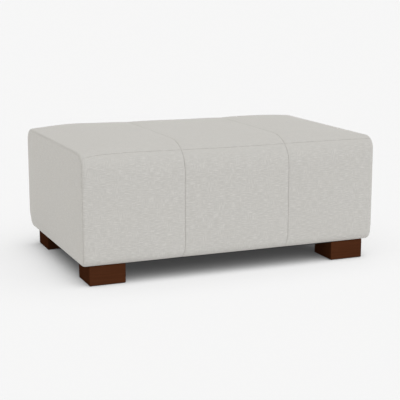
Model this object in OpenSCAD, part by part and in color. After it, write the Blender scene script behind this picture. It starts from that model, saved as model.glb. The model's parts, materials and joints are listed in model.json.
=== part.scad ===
// Upholstered footstool on four square block feet. Millimetres, +Z up, +X along its length,
// front towards -Y. The origin is on the floor under the middle of the seat.

/* [Overall] */
// Length over the bulged end panels
ottoman_length = 1004; // [900:4:1200]
// Depth over the front and back panels
ottoman_depth = 650; // [560:2:760]
// Height of the crowned top above the floor
ottoman_height = 429; // [400:1:480]

/* [Cover] */
// Thickness of the cover fabric
cover_t = 1.6; // [1:0.1:2.2]
// Width of the centre panels between the two long seams
center_panel_w = 354; // [280:2:420]
// How far the centre panels sit to the right of the middle
panel_offset = 12; // [-20:1:20]
// Drop from the crown to the end seams
crown = 16; // [10:1:28]
// Drop from the end seams to the seam along the front and back top edges
top_seam_drop = 10; // [3:1:12]
// How far the end panels bulge out past their seams
end_bulge = 4.5; // [2:0.5:12]
// How far the other panels fill out between their seams
panel_fullness = 3; // [0:0.5:4]
// How far the stitching pulls each seam in
seam_draw = 1.6; // [0.5:0.1:2.5]
// Gap between two panels where they meet at a seam
seam_gap = 0.6; // [0.4:0.1:1]
// Radius of the upper corners at the ends
end_corner_r = 36; // [32:1:44]
// Depth of the softer upper corner at mid length
mid_corner_y = 138; // [90:2:150]
// Height of the softer upper corner at mid length
mid_corner_z = 106; // [80:2:120]
// Radius of the lower edge where the cover turns under
lower_edge_r = 22; // [20:1:34]
// Radius of the padding along the end seams
end_edge_r = 12; // [9:0.5:12]
// Width of the cover that is turned under the frame
turn_under = 42; // [38:1:60]

/* [Padding] */
// Thickness of the fibre wrap under the cover
wrap_t = 10; // [9:0.5:14]
// Thickness of the foam pads on the four sides
side_pad_t = 12; // [8:0.5:20]
// Thickness of the seat foam under the crown
seat_foam_t = 85; // [70:1:105]

/* [Frame] */
// Thickness of the solid timber rails
rail_t = 20; // [18:0.5:24]
// Height of the upper rails
top_rail_h = 70; // [50:1:80]
// Height of the lower rails
bottom_rail_h = 50; // [40:1:60]
// Bevel along the lower outer edge of the lower rails
rail_bevel = 4; // [3:0.5:6]
// Thickness of the hardboard on the four sides
board_t = 3; // [2:0.5:5]
// Width of the two sides of each triangular corner block
corner_block_w = 42; // [36:1:44]
// Width of the uprights and the stretcher at mid length
stud_w = 50; // [40:1:70]
// Size of the square plywood plates over the feet
leg_plate_w = 120; // [105:1:140]
// Thickness of the plywood plates
leg_plate_t = 18; // [15:0.5:22]

/* [Springs] */
// Width of each zig-zag spring
spring_w = 50; // [44:1:56]
// Number of straight bars in each spring
spring_bars = 24; // [20:2:28]
// Wire diameter of the springs
wire_d = 3.8; // [3:0.1:4.5]
// Rise of the springs at mid depth
spring_arch = 12; // [6:1:18]
// Distance from the end rails to the middle of the first and last spring
spring_end_in = 74; // [60:1:90]
// Wire diameter of the two tie wires
tie_wire_d = 2.6; // [2:0.1:3.2]
// Number of spring gaps from the middle to each tie wire
tie_step = 4; // [2:1:7]
// Thickness of the cloth over the springs
deck_cloth_t = 1.2; // [0.8:0.1:2]

/* [Feet] */
// Width of each square foot
foot_w = 115; // [95:1:120]
// Height of the body above the floor
foot_h = 63; // [50:1:90]
// Distance from the end seams in to the feet
foot_inset_x = 25; // [12:1:30]
// Distance from the front or back in to the feet
foot_inset_y = 21; // [12:1:30]
// Size of the eased edges of the feet
foot_edge = 1.2; // [0.6:0.2:3]
// Diameter of the glides
glide_d = 25; // [20:1:32]
// Thickness of the glides
glide_t = 5; // [4:0.5:7]
// How far the glides stand out of the feet
glide_proud = 1.5; // [1:0.25:3]
// Diameter of the hanger bolts that hold the feet
bolt_d = 8; // [6:1:10]
// Depth of the bolt holes in the feet
bolt_depth = 34; // [24:1:38]
// Thickness of the dust cover
dust_t = 0.8; // [0.5:0.1:1.2]

/* [Hidden] */

// Gaps between soft layers, and round running clearances
layer_gap = 0.5;
lay_gap = 0.3;
foam_gap = 0.6;
bore_gap = 0.2;
drill = 1;

half_length = ottoman_length / 2 - end_bulge;
half_depth = ottoman_depth / 2;
edge_x = half_length - end_edge_r;

// How far each layer lies inside the outer face
wrap_in = cover_t + layer_gap;
foam_in = wrap_in + wrap_t + layer_gap;
board_in = foam_in + side_pad_t + lay_gap;
rail_in = board_in + board_t;
core_x = half_length - foam_in - layer_gap;
core_y = half_depth - foam_in;

// Each end bar of a spring lies in a clip in the middle of a rail
clip_t = 1.2;
clip_w = 16;
clip_h = 2 * clip_t + wire_d + 2 * bore_gap;
deck_rise = clip_h + lay_gap + deck_cloth_t + foam_gap;

// Frame levels and faces
frame_bottom = foot_h + cover_t + layer_gap;
frame_top = ottoman_height - foam_in - seat_foam_t - spring_arch - deck_rise;
top_rail_low = frame_top - top_rail_h;
bottom_rail_top = frame_bottom + bottom_rail_h;
frame_x = half_length - rail_in;
frame_y = half_depth - rail_in;
inner_x = frame_x - rail_t;
inner_y = frame_y - rail_t;
plate_top = frame_bottom + leg_plate_t;
board_low = frame_bottom + rail_bevel + 2;
pad_top = frame_top + deck_rise - lay_gap;

// Springs
spring_count = 7;
spring_spacing = 2 * (inner_x - spring_end_in) / (spring_count - 1);
loop_thin = 0.04;
loop_lap = 0.4;
spring_y = frame_y - rail_t / 2;
bar_pitch = 2 * spring_y / (spring_bars - 1);
tie_y = tie_step * bar_pitch;

// Feet and their fixings
foot_x = half_length - foot_inset_x - foot_w / 2;
foot_y = half_depth - foot_inset_y - foot_w / 2;
nut_flange_r = bolt_d / 2 + 5;
nut_flange_t = 1.5;
nut_barrel_r = bolt_d / 2 + 1.5;
nut_barrel_l = 10;
bolt_tip = 8;
bolt_spare = 4;
block_low = plate_top + nut_flange_t + 2 * bolt_spare;
corners = [[-1, -1], [1, -1], [-1, 1], [1, 1]];

// Frame screws: shank, head, length past the rail, spread in height and distance from the corner
screw_r = 2;
screw_head_r = 4;
screw_grip = 18;
screw_stagger = 6;
block_screw_in = 14;
plate_screw_in = 70;

// Panel seams along X, and how the seat swells between them
seam_x = [panel_offset - center_panel_w / 2, panel_offset + center_panel_w / 2];
crown_power = 3.4;
corner_power = 2.4;
draw_reach = 8;
full_reach = 45;
bulge_reach = 120;
edge_turn = 45;
hem_turn = 70;
gap_turn = seam_gap / 2 / end_edge_r * 180 / PI;

// Colours
fabric_color = "#c8c5bf";
timber_color = "#d9bd8c";
ply_color = "#cba873";
foot_color = "#4a2b1a";
foam_color = "#efe3b4";
fibre_color = "#f4f4f1";
steel_color = "#8f9498";

function mixed(a, b, share) = a + (b - a) * share;
function flat(rows) = [for (row = rows) for (p = row) p];

// Shape of the outer surface. mid_share is 0 where the end edges start and 1 at mid length.
function mid_share(x) = 1 - pow(min(1, abs(x) / edge_x), crown_power);
function top_z(x) = mixed(ottoman_height - crown, ottoman_height, mid_share(x));
function corner_y(x) = mixed(end_corner_r, mid_corner_y, mid_share(x));
function corner_z(x) = mixed(end_corner_r, mid_corner_z, mid_share(x));
function corner_exp(x) = 2 / mixed(2, corner_power, mid_share(x));

// Half of the girth at x, lying d inside the outer face, as [distance from the middle, height].
// s is 0 at the turned-under edge, 1 to 2 on the lower edge, 2 to 3 on the face,
// 3 to 4 on the upper corner and 5 in the middle of the top.
function half_girth(x, s, d) =
    let (r = lower_edge_r - d, cy = corner_y(x) - d, cz = corner_z(x) - d)
    let (half = half_depth - d, low = foot_h + d, top = top_z(x) - d, n = corner_exp(x))
    s < 1 ? [half_depth - mixed(turn_under, lower_edge_r, s), low]
    : s < 2 ? [half - r + r * sin(90 * (s - 1)), low + r - r * cos(90 * (s - 1))]
    : s < 3 ? [half, mixed(low + r, top - cz, s - 2)]
    : s < 4 ? [half - cy + cy * pow(cos(90 * (s - 3)), n), top - cz + cz * pow(sin(90 * (s - 3)), n)]
    : [(half - cy) * (5 - s), top];

// Where the seam between a side panel and the top runs round the upper corner
function seam_s(x) =
    let (up = corner_z(x) - (top_z(x) - (ottoman_height - crown - top_seam_drop)))
    3 + asin(pow(up / corner_z(x), 1 / corner_exp(x))) / 90;

// How near a point is to a seam, from 1 on the seam to 0 far from it
function near(along, across, reach) = 1 - (1 - exp(-along / reach)) * (1 - exp(-across / reach));
function seam_lift(s) = min(1, max(0, s - 1));
function to_top_seam(x, s) = norm(half_girth(x, s, 0) - half_girth(x, seam_s(x), 0));
function cover_dip(x, s, dx) = let (dt = to_top_seam(x, s)) seam_lift(s)
    * (seam_draw * near(dx, dt, draw_reach) + panel_fullness * near(dx, dt, full_reach));
function wrap_dip(x, s, dx) = let (dt = to_top_seam(x, s)) seam_lift(s)
    * (seam_draw + panel_fullness * near(dx, dt, full_reach));

// The whole girth: s from 0 to 5 is the front half and from 5 to 10 the back half
function front_half(s) = min(s, 10 - s);
function girth_point(x, px, s, d) =
    let (p = half_girth(x, front_half(s), d))
    [px, (s > 5 ? 1 : -1) * p[0], p[1]];

// Rows of a panel, given at each x because they follow the seam
function side_rows(x) = let (m = seam_s(x))
    [0, 1, 1.25, 1.5, 1.75, 2, 2.5, 3, mixed(3, m, 0.4), mixed(3, m, 0.7), mixed(3, m, 0.9), m];
function top_half_rows(x) = let (m = seam_s(x))
    [m, mixed(m, 4, 0.15), mixed(m, 4, 0.45), mixed(m, 4, 0.75), 4, 4.45, 5];
function core_half_rows(x) = let (m = seam_s(x))
    [3, mixed(3, m, 0.4), mixed(3, m, 0.7), m, mixed(m, 4, 0.45), 4, 4.25, 4.5, 4.75, 5];
function both_halves(half) = concat(half, [for (i = [len(half) - 2:-1:0]) 10 - half[i]]);
function back_rows(half) = [for (i = [len(half) - 1:-1:0]) 10 - half[i]];

// Stations across a panel: [x, turn round the end edge or 90, distance to the nearest seam]
function spread(n) = [for (i = [0:n]) (1 - cos(180 * i / n)) / 2];
function to_end_seam(x) = half_length - abs(x) - end_edge_r * (1 - PI / 4);
function turned(a) = [edge_x, a, end_edge_r * (a - edge_turn) * PI / 180];
function end_stations(x1) = concat(
    [for (a = [edge_turn + gap_turn, 60, 75]) turned(a)],
    [for (u = spread(8)) let (x = mixed(edge_x, x1 + seam_gap / 2, u))
        [x, 90, min(to_end_seam(x), x - x1)]]);
function center_stations() = [for (u = spread(10))
    let (x = mixed(seam_x[0] + seam_gap / 2, seam_x[1] - seam_gap / 2, u))
    [x, 90, min(x - seam_x[0], seam_x[1] - x)]];
function mirrored(stations) = [for (i = [len(stations) - 1:-1:0])
    let (t = stations[i]) [-t[0], t[1], t[2]]];
function panel_stations(part) = part == "left" ? mirrored(end_stations(-seam_x[0]))
    : part == "right" ? let (t = end_stations(seam_x[1])) [for (i = [len(t) - 1:-1:0]) t[i]]
    : center_stations();

// One point of the cover at station t and row s, lying d inside its outer face
function cover_point(t, s, d) =
    let (r = end_edge_r - d, x = t[0], dip = cover_dip(x, front_half(s), t[2]))
    girth_point(x, x + sign(x) * r * cos(t[1]), s, dip + end_edge_r - r * sin(t[1]));
function plain_point(t, s, d) =
    girth_point(t[0], t[0], s, d + cover_dip(t[0], front_half(s), t[2]));
function panel_point(t, s, d) = t[1] < 90 ? cover_point(t, s, d) : plain_point(t, s, d);

// Outline of the end panels: rim_in is how far their rim lies inside the end profile
seam_in = seam_draw + panel_fullness;
end_top = ottoman_height - crown;
function rim_in(a, d) = end_edge_r - (end_edge_r - d) * sin(a);
function rim_point(s, inset) = half_girth(half_length, s, inset + seam_in * seam_lift(s));
function corner_room(y, z, r, slack) = r - slack - norm([y, z]);
function inside_rim(y, z, inset) =
    let (ty = y - (half_depth - end_corner_r), tz = z - (end_top - end_corner_r))
    let (by = y - (half_depth - lower_edge_r), bz = foot_h + lower_edge_r - z)
    ty > 0 && tz > 0 ? corner_room(ty, tz, end_corner_r, inset + seam_in)
    : by > 0 && bz > 0 ? corner_room(by, bz, lower_edge_r, inset + seam_in * atan2(by, bz) / 90)
    : min(half_depth - inset - seam_in - y, end_top - inset - seam_in - z, z - foot_h - inset);
function bulge(i) = let (q = min(1, max(0, i - end_edge_r) / bulge_reach)) end_bulge * q * (2 - q);
function end_point(side, y, z, inset, d) =
    let (i = inset + inside_rim(abs(y), z, inset), r = end_edge_r - d)
    let (reach = sqrt(max(0, r * r - pow(max(0, end_edge_r - i), 2))))
    [side * (edge_x + reach + bulge(i)), y, z];
function end_row(side, y, z, inset, d, cols) =
    [for (c = cols) end_point(side, side * c * y, z, inset, d)];

// Closed solid between an outer and an inner grid of points with the same rows and columns
module shell(outer, inner) {
    rows = len(outer) - 1;
    cols = len(outer[0]) - 1;
    wide = cols + 1;
    back = wide * (rows + 1);
    function quad(a, b, c, d) = [[a, b, c], [a, c, d]];
    function at(r, c) = r * wide + c;
    polyhedron(
        points = concat(flat(outer), flat(inner)),
        faces = flat(concat(
            [for (r = [0:rows - 1]) for (c = [0:cols - 1])
                quad(at(r, c), at(r + 1, c), at(r + 1, c + 1), at(r, c + 1))],
            [for (r = [0:rows - 1]) for (c = [0:cols - 1])
                quad(back + at(r, c), back + at(r, c + 1), back + at(r + 1, c + 1), back + at(r + 1, c))],
            [for (r = [0:rows - 1])
                quad(at(r + 1, 0), at(r, 0), back + at(r, 0), back + at(r + 1, 0))],
            [for (r = [0:rows - 1])
                quad(at(r, cols), at(r + 1, cols), back + at(r + 1, cols), back + at(r, cols))],
            [for (c = [0:cols - 1])
                quad(at(0, c), at(0, c + 1), back + at(0, c + 1), back + at(0, c))],
            [for (c = [0:cols - 1])
                quad(at(rows, c + 1), at(rows, c), back + at(rows, c), back + at(rows, c + 1))])));
}

// Cover panels of the girth: rows run from the front lower edge over the top to the back
function panel_grid(stations, rows, d) = [for (j = [0:len(rows[0]) - 1])
    [for (k = [0:len(stations) - 1]) panel_point(stations[k], rows[k][j], d)]];

module top_panel(part) {
    stations = panel_stations(part);
    rows = [for (t = stations) let (half = top_half_rows(t[0]))
        both_halves([for (i = [0:len(half) - 1]) i == 0 ? half[0] + half_gap_s(t[0]) : half[i]])];
    color(fabric_color) shell(panel_grid(stations, rows, 0), panel_grid(stations, rows, cover_t));
}

// Half a seam gap, as a share of the upper corner
function half_gap_s(x) = seam_gap / 2 / (PI / 4 * (corner_y(x) + corner_z(x)));

module side_panel(part, back) {
    stations = panel_stations(part);
    rows = [for (t = stations) let (half = side_rows(t[0]), last = len(half) - 1)
        let (front = [for (i = [0:last]) i == last ? half[i] - half_gap_s(t[0]) : half[i]])
        back ? back_rows(front) : front];
    color(fabric_color) shell(panel_grid(stations, rows, 0), panel_grid(stations, rows, cover_t));
}

// End panels: their rim has the rows of the panels that it is sewn to
end_cols = [-1, -0.985, -0.96, -0.88, -0.6, 0, 0.6, 0.88, 0.96, 0.985, 1];
function end_rows() = let (low = side_rows(half_length), high = top_half_rows(half_length))
    concat([for (i = [1:5]) low[i]], [2.1, 2.3], [for (i = [6:len(low) - 1]) low[i]],
        [for (i = [1:4]) high[i]]);

function end_panel_grid(side, d) =
    let (inset = rim_in(edge_turn - gap_turn, d), y0 = half_depth - turn_under - seam_gap)
    let (r = end_edge_r - d, rim = end_edge_r - r * sin(edge_turn))
    concat(
        [[for (c = end_cols) [side * (half_length - turn_under), side * c * y0, foot_h + d]]],
        [end_row(side, y0, foot_h + d, inset, d, end_cols)],
        [end_row(side, y0, foot_h + rim_in(hem_turn, d), inset, d, end_cols)],
        [end_row(side, y0, foot_h + rim, inset, d, end_cols)],
        [for (s = end_rows()) let (p = rim_point(s, inset)) end_row(side, p[0], p[1], inset, d, end_cols)]);

module end_panel(side) {
    color(fabric_color) shell(end_panel_grid(side, 0), end_panel_grid(side, cover_t));
}

// Fibre wrap and seat foam share their stations and rows
core_parts = [0, 0.1, 0.32, 0.68, 0.9];
function core_stations() = let (marks = [-core_x, seam_x[0], seam_x[1], core_x])
    concat(
        [for (k = [0:2]) for (u = core_parts) let (x = mixed(marks[k], marks[k + 1], u))
            [x, 90, core_seam(x)]],
        [[core_x, 90, core_seam(core_x)]]);
function core_seam(x) = min(half_length - abs(x), abs(x - seam_x[0]), abs(x - seam_x[1]));
function core_grid(rows, d, dipped) = let (stations = core_stations())
    [for (j = [0:len(rows[0]) - 1]) [for (k = [0:len(stations) - 1])
        let (t = stations[k], s = rows[k][j])
        girth_point(t[0], t[0], s, d + (dipped ? wrap_dip(t[0], front_half(s), t[2]) : 0))]];

module fibre_wrap() {
    rows = [for (t = core_stations()) both_halves(concat([1.5, 1.75, 2], core_half_rows(t[0])))];
    color(fibre_color) shell(core_grid(rows, wrap_in, true), core_grid(rows, wrap_in + wrap_t, false));
}

module fibre_wrap_end(side) {
    outer = [for (s = end_rows()) let (p = rim_point(s, wrap_in))
        end_row(side, p[0], p[1], wrap_in, wrap_in, end_cols)];
    inner = [for (row = outer) [for (p = row) [side * (core_x + layer_gap), p[1], p[2]]]];
    color(fibre_color) shell(outer, inner);
}

// Height of the spring wire, the cloth over it and the underside of the seat foam
function rise(y) = spring_arch * max(0, 1 - pow(y / spring_y, 2));
function wire_z(y) = frame_top + clip_t + bore_gap + wire_d / 2 + rise(y);
function cloth_low(y) = frame_top + clip_h + lay_gap + rise(y);
function foam_low(y) = frame_top + deck_rise + rise(y);

module seat_foam() {
    rows = [for (t = core_stations()) both_halves(core_half_rows(t[0]))];
    outer = core_grid(rows, foam_in, false);
    inner = [for (row = outer) [for (p = row) [p[0], p[1], foam_low(p[1])]]];
    color(foam_color) shell(outer, inner);
}

// Foam pads glued over the hardboard. Those on the front and back follow the lower edge.
module long_pad(side) {
    r = lower_edge_r - foam_in;
    middle = half_depth - lower_edge_r;
    inner = half_depth - board_in + lay_gap;
    start = asin(max(0, (inner - middle) / r));
    arc = [for (i = [0:6]) let (a = mixed(start, 90, i / 6))
        [middle + r * sin(a), foot_h + lower_edge_r - r * cos(a)]];
    outline = concat([[inner, arc[0][1]]], start > 0 ? [for (i = [1:6]) arc[i]] : arc,
        [[core_y, pad_top], [inner, pad_top]]);
    color(foam_color) translate([-core_x, 0, 0]) rotate([90, 0, 90])
        linear_extrude(2 * core_x) polygon([for (p = outline) [side * p[0], p[1]]]);
}

module end_pad(side) {
    low = foot_h + foam_in;
    wide = 2 * (half_depth - board_in);
    inner = half_length - board_in + lay_gap;
    color(foam_color) translate([side > 0 ? inner : -core_x, -wide / 2, low])
        cube([core_x - inner, wide, pad_top - low]);
}

// Foam strips that bring the end rails up to the arched springs
module edge_strip(side) {
    steps = 24;
    arch = [for (i = [0:steps]) let (y = mixed(-inner_y, inner_y, i / steps)) [y, cloth_low(y) - lay_gap]];
    color(foam_color) translate([side > 0 ? inner_x : -frame_x, 0, 0]) rotate([90, 0, 90])
        linear_extrude(rail_t) polygon(concat([[inner_y, frame_top], [-inner_y, frame_top]], arch));
}

module deck_cloth() {
    steps = 40;
    ys = [for (i = [0:steps]) mixed(-frame_y, frame_y, i / steps)];
    color("#b9ab8e") translate([-frame_x, 0, 0]) rotate([90, 0, 90])
        linear_extrude(2 * frame_x) polygon(concat(
            [for (y = ys) [y, cloth_low(y)]],
            [for (i = [steps:-1:0]) [ys[i], cloth_low(ys[i]) + deck_cloth_t]]));
}

// Hardboard on the outside of the frame
module long_board(side) {
    color("#8a6a48") translate([-frame_x, side > 0 ? frame_y : -frame_y - board_t, board_low])
        cube([2 * frame_x, board_t, frame_top - board_low]);
}

module end_board(side) {
    color("#8a6a48") translate([side > 0 ? frame_x : -frame_x - board_t, -frame_y, board_low])
        cube([board_t, 2 * frame_y, frame_top - board_low]);
}

// Zig-zag spring: straight bars joined by half loops, each in the plane of its two bars.
// The wire is a little thinner round the loops, where the bending drew it out, and each bar
// laps its loops. Places are whole hundredths.
function hundredths(v) = round(v * 100) / 100;
function bar_y(k) = hundredths(-spring_y + k * bar_pitch);
function bar_z(k) = hundredths(wire_z(bar_y(k)));
function spring_x(number) = hundredths((number - (spring_count + 1) / 2) * spring_spacing);

module spring(number) {
    x = spring_x(number);
    side = hundredths((spring_w - wire_d - bar_pitch) / 2);
    color(steel_color) union() {
        for (k = [0:spring_bars - 1])
            translate([x - side - loop_lap, bar_y(k), bar_z(k)])
                rotate([0, 90, 0]) cylinder(h = 2 * (side + loop_lap), d = wire_d, $fn = 24);
        for (k = [0:spring_bars - 2]) {
            step = [bar_y(k + 1) - bar_y(k), bar_z(k + 1) - bar_z(k)];
            turn = k % 2 == 0 ? 1 : -1;
            translate([x + turn * side, bar_y(k) + step[0] / 2, bar_z(k) + step[1] / 2])
                rotate([atan2(step[1], step[0]), 0, 0]) rotate([0, 0, -90 * turn])
                rotate_extrude(angle = 180, $fn = 48) translate([norm(step) / 2, 0])
                circle(d = wire_d - 2 * loop_thin, $fn = 24);
        }
    }
}

module spring_clips() {
    color(steel_color) for (number = [1:spring_count]) for (side = [-1, 1])
        translate([spring_x(number), side * spring_y, frame_top])
            difference() {
                translate([-clip_w / 4, -clip_w / 2, 0]) cube([clip_w / 2, clip_w, clip_h]);
                translate([-clip_w / 2, 0, clip_h / 2]) rotate([0, 90, 0])
                    cylinder(h = clip_w, d = wire_d + 2 * bore_gap, $fn = 24);
            }
}

// Tie wires under the loops, from the first spring to the last
module tie_wires() {
    long = (spring_count - 1) * spring_spacing + spring_w + 10;
    y = tie_y;
    color(steel_color) for (side = [-1, 1])
        translate([-long / 2, side * y, wire_z(y) - wire_d / 2 - lay_gap - tie_wire_d / 2])
            rotate([0, 90, 0]) cylinder(h = long, d = tie_wire_d, $fn = 24);
}

// Screws through the rails into the corner blocks and plates: [height, spread, distance from the corner]
screw_levels = [[frame_top - top_rail_h / 2, screw_stagger, block_screw_in],
    [(block_low + bottom_rail_top) / 2, screw_stagger, block_screw_in],
    [frame_bottom + leg_plate_t / 2, 0, plate_screw_in]];
function screw_places() = [for (c = corners) for (level = screw_levels) for (axis = [0, 1]) axis == 0
    ? [[c[0] * frame_x, c[1] * (inner_y - level[2]), level[0] - level[1]], [-c[0], 0, 0]]
    : [[c[0] * (inner_x - level[2]), c[1] * frame_y, level[0] + level[1]], [0, -c[1], 0]]];

module along(direction) {
    rotate([0, 90, atan2(direction[1], direction[0])]) children();
}

module screw_shapes(gap) {
    head = screw_head_r - screw_r;
    for (place = screw_places()) translate(place[0]) along(place[1]) {
        cylinder(h = rail_t + screw_grip, r = screw_r + gap, $fn = 24);
        cylinder(h = head, r1 = screw_head_r + gap, r2 = screw_r + gap, $fn = 24);
    }
}

module frame_screws() {
    color(steel_color) for (place = screw_places()) translate(place[0]) along(place[1]) {
        head = screw_head_r - screw_r;
        cylinder(h = head, r1 = screw_head_r, r2 = screw_r, $fn = 24);
        translate([0, 0, head]) cylinder(h = rail_t + screw_grip - head - 2, r = screw_r, $fn = 24);
    }
}

// Rails: the front and back ones run the full length and the end ones fit between them
module long_rail(side, low, high, bevel) {
    outline = [[inner_y, low], [frame_y - bevel, low], [frame_y, low + bevel],
        [frame_y, high], [inner_y, high]];
    color(timber_color) difference() {
        translate([-frame_x, 0, 0]) rotate([90, 0, 90]) linear_extrude(2 * frame_x)
            polygon([for (p = outline) [side * p[0], p[1]]]);
        screw_shapes(bore_gap);
    }
}

module end_rail(side, low, high) {
    color(timber_color) difference() {
        translate([side > 0 ? inner_x : -frame_x, -inner_y, low])
            cube([rail_t, 2 * inner_y, high - low]);
        screw_shapes(bore_gap);
    }
}

module corner_blocks() {
    color(timber_color) difference() {
        for (c = corners)
            translate([c[0] * inner_x, c[1] * inner_y, block_low])
                linear_extrude(frame_top - block_low)
                polygon([[0, 0], [-c[0] * corner_block_w, 0], [0, -c[1] * corner_block_w]]);
        screw_shapes(bore_gap);
    }
}

module center_studs() {
    color(timber_color) for (side = [-1, 1])
        translate([-stud_w / 2, side > 0 ? inner_y : -frame_y, bottom_rail_top])
            cube([stud_w, rail_t, top_rail_low - bottom_rail_top]);
}

module center_stretcher() {
    color(timber_color) translate([-stud_w / 2, -inner_y, frame_bottom])
        cube([stud_w, 2 * inner_y, rail_t]);
}

// Plywood plates inside the lower rails: square with the inner corner cut off
module leg_plate(c) {
    cut = leg_plate_w - corner_block_w;
    outline = [[0, 0], [leg_plate_w, 0], [leg_plate_w, cut], [cut, leg_plate_w], [0, leg_plate_w]];
    color(ply_color) difference() {
        translate([c[0] * inner_x, c[1] * inner_y, frame_bottom]) linear_extrude(leg_plate_t)
            polygon([for (p = outline) [-c[0] * p[0], -c[1] * p[1]]]);
        translate([c[0] * foot_x, c[1] * foot_y, frame_bottom - drill])
            cylinder(h = leg_plate_t + 2 * drill, r = nut_barrel_r + bore_gap, $fn = 32);
        screw_shapes(bore_gap);
    }
}

module tee_nuts() {
    color(steel_color) for (c = corners) translate([c[0] * foot_x, c[1] * foot_y, plate_top])
        difference() {
            union() {
                cylinder(h = nut_flange_t, r = nut_flange_r, $fn = 32);
                translate([0, 0, -nut_barrel_l])
                    cylinder(h = nut_barrel_l + nut_flange_t / 2, r = nut_barrel_r, $fn = 32);
            }
            translate([0, 0, -nut_barrel_l - drill])
                cylinder(h = nut_barrel_l + nut_flange_t + 2 * drill, r = bolt_d / 2 + bore_gap / 2, $fn = 32);
        }
}

module hanger_bolts() {
    low = foot_h - bolt_depth;
    color(steel_color) for (c = corners) translate([c[0] * foot_x, c[1] * foot_y, 0]) {
        translate([0, 0, low]) cylinder(h = bolt_tip, r1 = 1, r2 = bolt_d / 2, $fn = 32);
        translate([0, 0, low + bolt_tip])
            cylinder(h = plate_top + nut_flange_t + bolt_spare - low - bolt_tip, r = bolt_d / 2, $fn = 32);
    }
}

// Block with all its edges eased
module eased_block(wide, deep, high, edge) {
    function eased(a, b) = [[-a, -b + edge], [-a + edge, -b], [a - edge, -b], [a, -b + edge],
        [a, b - edge], [a - edge, b], [-a + edge, b], [-a, b - edge]];
    intersection() {
        translate([0, 0, -high / 2]) linear_extrude(high) polygon(eased(wide / 2, deep / 2));
        rotate([90, 0, 0]) translate([0, 0, -deep / 2]) linear_extrude(deep) polygon(eased(wide / 2, high / 2));
        rotate([90, 0, 90]) translate([0, 0, -wide / 2]) linear_extrude(wide) polygon(eased(deep / 2, high / 2));
    }
}

module foot(c) {
    high = foot_h - glide_proud;
    color(foot_color) translate([c[0] * foot_x, c[1] * foot_y, 0]) difference() {
        translate([0, 0, glide_proud + high / 2]) eased_block(foot_w, foot_w, high, foot_edge);
        translate([0, 0, foot_h - bolt_depth - 2])
            cylinder(h = bolt_depth + 2 + drill, r = bolt_d / 2 + bore_gap, $fn = 32);
        translate([0, 0, -drill])
            cylinder(h = glide_t + bore_gap + drill, d = glide_d + 2 * bore_gap, $fn = 48);
    }
}

module foot_glides() {
    color("#3a3a3a") for (c = corners) translate([c[0] * foot_x, c[1] * foot_y, 0]) {
        cylinder(h = glide_proud, d1 = glide_d - 2 * glide_proud, d2 = glide_d, $fn = 48);
        translate([0, 0, glide_proud]) cylinder(h = glide_t - glide_proud, d = glide_d, $fn = 48);
    }
}

// Dust cover over the underside, notched round the feet
module dust_cover() {
    wide = half_length - lower_edge_r;
    deep = half_depth - lower_edge_r;
    notch = foot_w / 2 + 1;
    color("#26262a") translate([0, 0, foot_h - lay_gap - dust_t]) linear_extrude(dust_t) difference() {
        square([2 * wide, 2 * deep], center = true);
        for (c = corners) {
            in = [foot_x - notch, foot_y - notch];
            translate([c[0] > 0 ? in[0] : -in[0] - ottoman_length, c[1] > 0 ? in[1] : -in[1] - ottoman_depth])
                square([ottoman_length, ottoman_depth]);
        }
    }
}

top_panel("left");  // top_panel_left
top_panel("center");  // top_panel_center
top_panel("right");  // top_panel_right
side_panel("left", false);  // front_panel_left
side_panel("center", false);  // front_panel_center
side_panel("right", false);  // front_panel_right
side_panel("left", true);  // back_panel_left
side_panel("center", true);  // back_panel_center
side_panel("right", true);  // back_panel_right
end_panel(-1);  // end_panel_left
end_panel(1);  // end_panel_right
fibre_wrap();
fibre_wrap_end(-1);  // fibre_wrap_left_end
fibre_wrap_end(1);  // fibre_wrap_right_end
seat_foam();
long_pad(-1);  // front_pad
long_pad(1);  // back_pad
end_pad(-1);  // left_pad
end_pad(1);  // right_pad
edge_strip(-1);  // edge_strip_left
edge_strip(1);  // edge_strip_right
deck_cloth();
long_board(-1);  // front_board
long_board(1);  // back_board
end_board(-1);  // left_board
end_board(1);  // right_board
for (number = [1:spring_count])
    spring(number);
spring_clips();
tie_wires();
long_rail(-1, top_rail_low, frame_top, 0);  // front_top_rail
long_rail(1, top_rail_low, frame_top, 0);  // back_top_rail
end_rail(-1, top_rail_low, frame_top);  // left_top_rail
end_rail(1, top_rail_low, frame_top);  // right_top_rail
long_rail(-1, frame_bottom, bottom_rail_top, rail_bevel);  // front_bottom_rail
long_rail(1, frame_bottom, bottom_rail_top, rail_bevel);  // back_bottom_rail
end_rail(-1, frame_bottom, bottom_rail_top);  // left_bottom_rail
end_rail(1, frame_bottom, bottom_rail_top);  // right_bottom_rail
corner_blocks();
center_studs();
center_stretcher();
frame_screws();
leg_plate([-1, -1]);  // leg_plate_front_left
leg_plate([1, -1]);  // leg_plate_front_right
leg_plate([-1, 1]);  // leg_plate_rear_left
leg_plate([1, 1]);  // leg_plate_rear_right
tee_nuts();
hanger_bolts();
foot([-1, -1]);  // foot_front_left
foot([1, -1]);  // foot_front_right
foot([-1, 1]);  // foot_rear_left
foot([1, 1]);  // foot_rear_right
foot_glides();
dust_cover();
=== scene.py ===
# Upholstered footstool: linen cover, padding, sprung timber frame and dark block feet
import json
import math

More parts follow.
